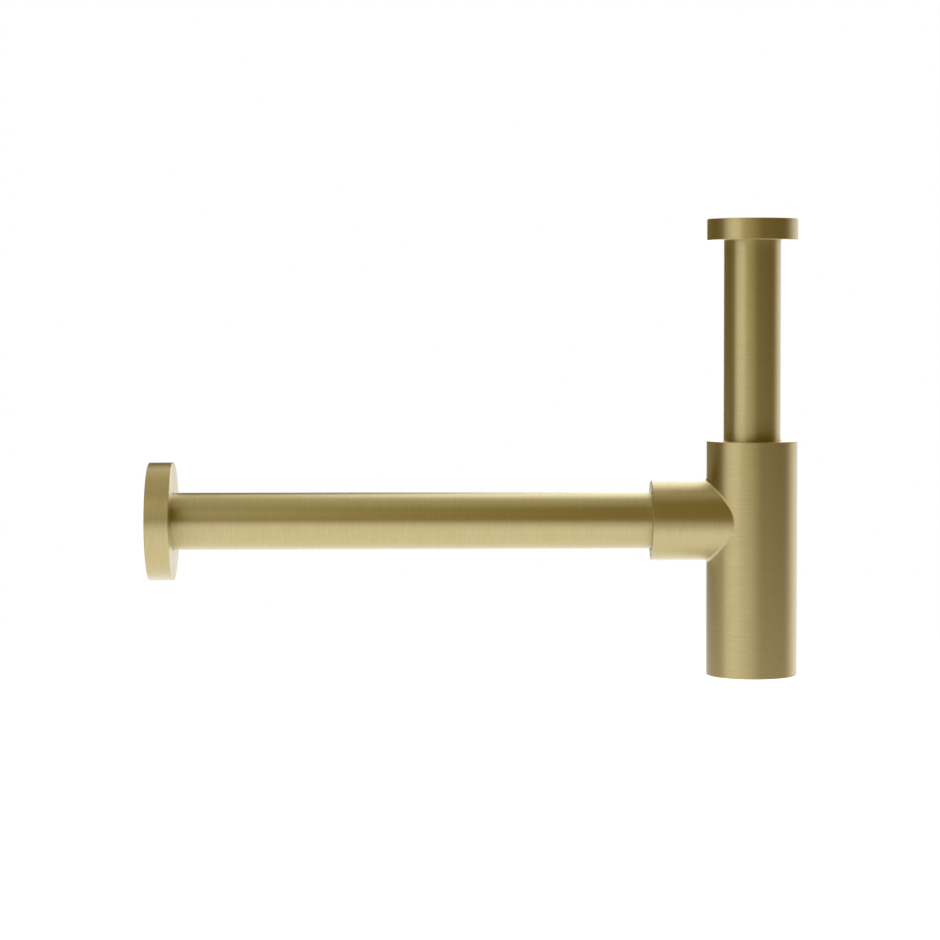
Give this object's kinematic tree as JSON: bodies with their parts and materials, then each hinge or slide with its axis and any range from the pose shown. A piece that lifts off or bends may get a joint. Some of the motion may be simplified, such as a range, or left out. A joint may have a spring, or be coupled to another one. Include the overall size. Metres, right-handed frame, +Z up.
{
  "type": "sink trap",
  "caption": "Round bottle trap for a wash basin: upright inlet pipe with a union nut, a bottle with a side outlet, and a level pipe that ends in a round wall flange.",
  "frame": {"origin": "on the inlet axis, at the inner end of the union nut's thread", "axes": "+Z up along the inlet pipe, -X along the outlet pipe towards the wall, -Y to the front"},
  "size_m": [0.3635, 0.066, 0.2555],
  "materials": {
    "brushed_brass": "satin brushed",
    "black_rubber": "moulded",
    "white_nylon": "moulded"
  },
  "bodies": {
    "inlet": {"inlet_pipe": "brushed_brass", "basin_washer": "black_rubber"},
    "nut_ring": {"nut_slip_ring": "white_nylon"},
    "nut": {"basin_nut": "brushed_brass"},
    "height_seal": {"inlet_seal": "black_rubber"},
    "bottle": {"trap_body": "brushed_brass", "outlet_seal": "black_rubber"},
    "inlet_ring": {"inlet_slip_ring": "white_nylon"},
    "inlet_gland": {"inlet_gland": "brushed_brass"},
    "outlet_ring": {"outlet_slip_ring": "white_nylon"},
    "outlet_gland": {"outlet_gland": "brushed_brass"},
    "outlet": {"outlet_pipe": "brushed_brass"},
    "flange_ring": {"flange_o_ring": "black_rubber"},
    "flange": {"wall_flange": "brushed_brass"},
    "plug_ring": {"plug_o_ring": "black_rubber"},
    "plug": {"bottom_plug": "brushed_brass"}
  },
  "joints": [
    {"name": "nut_drop", "type": "slide", "parent": "inlet", "child": "nut_ring", "axis": [0, 0, 1], "range_m": [-0.085, 0]},
    {"name": "nut_turn", "type": "hinge", "parent": "nut_ring", "child": "nut", "pos_m": [0, 0, -0.0051], "axis": [0, 0, 1], "continuous": true},
    {"name": "height_adjust", "type": "slide", "parent": "inlet", "child": "height_seal", "axis": [0, 0, 1], "range_m": [-0.03, 0.006]},
    {"name": "bottle_swivel", "type": "hinge", "parent": "height_seal", "child": "bottle", "pos_m": [0, 0, -0.1348], "axis": [0, 0, 1], "continuous": true},
    {"name": "inlet_ring_lift", "type": "slide", "parent": "bottle", "child": "inlet_ring", "axis": [0, 0, 1], "range_m": [0, 0.0075]},
    {"name": "inlet_gland_turn", "type": "hinge", "parent": "inlet_ring", "child": "inlet_gland", "pos_m": [0, 0, -0.1196], "axis": [0, 0, 1], "range_deg": [0, 1800]},
    {"name": "outlet_ring_out", "type": "slide", "parent": "bottle", "child": "outlet_ring", "axis": [-1, 0, 0], "range_m": [0, 0.0075]},
    {"name": "outlet_gland_turn", "type": "hinge", "parent": "outlet_ring", "child": "outlet_gland", "pos_m": [-0.0567, 0, -0.1641], "axis": [-1, 0, 0], "range_deg": [0, 1800]},
    {"name": "outlet_slide", "type": "slide", "parent": "bottle", "child": "outlet", "axis": [1, 0, 0], "range_m": [-0.003, 0.012]},
    {"name": "flange_slide", "type": "slide", "parent": "outlet", "child": "flange_ring", "axis": [1, 0, 0], "range_m": [0, 0.24]},
    {"name": "flange_turn", "type": "hinge", "parent": "flange_ring", "child": "flange", "pos_m": [-0.338, 0, -0.1641], "axis": [1, 0, 0], "continuous": true},
    {"name": "plug_ring_drop", "type": "slide", "parent": "bottle", "child": "plug_ring", "axis": [0, 0, -1], "range_m": [0, 0.0125]},
    {"name": "plug_turn", "type": "hinge", "parent": "plug_ring", "child": "plug", "pos_m": [0, 0, -0.2511], "axis": [0, 0, -1], "range_deg": [0, 3000]}
  ],
  "couplings": [
    {"joint": "inlet_ring_lift", "follows": "inlet_gland_turn", "m_per_rad": 0.0002387},
    {"joint": "outlet_ring_out", "follows": "outlet_gland_turn", "m_per_rad": 0.0002387},
    {"joint": "plug_ring_drop", "follows": "plug_turn", "m_per_rad": 0.0002387}
  ]
}
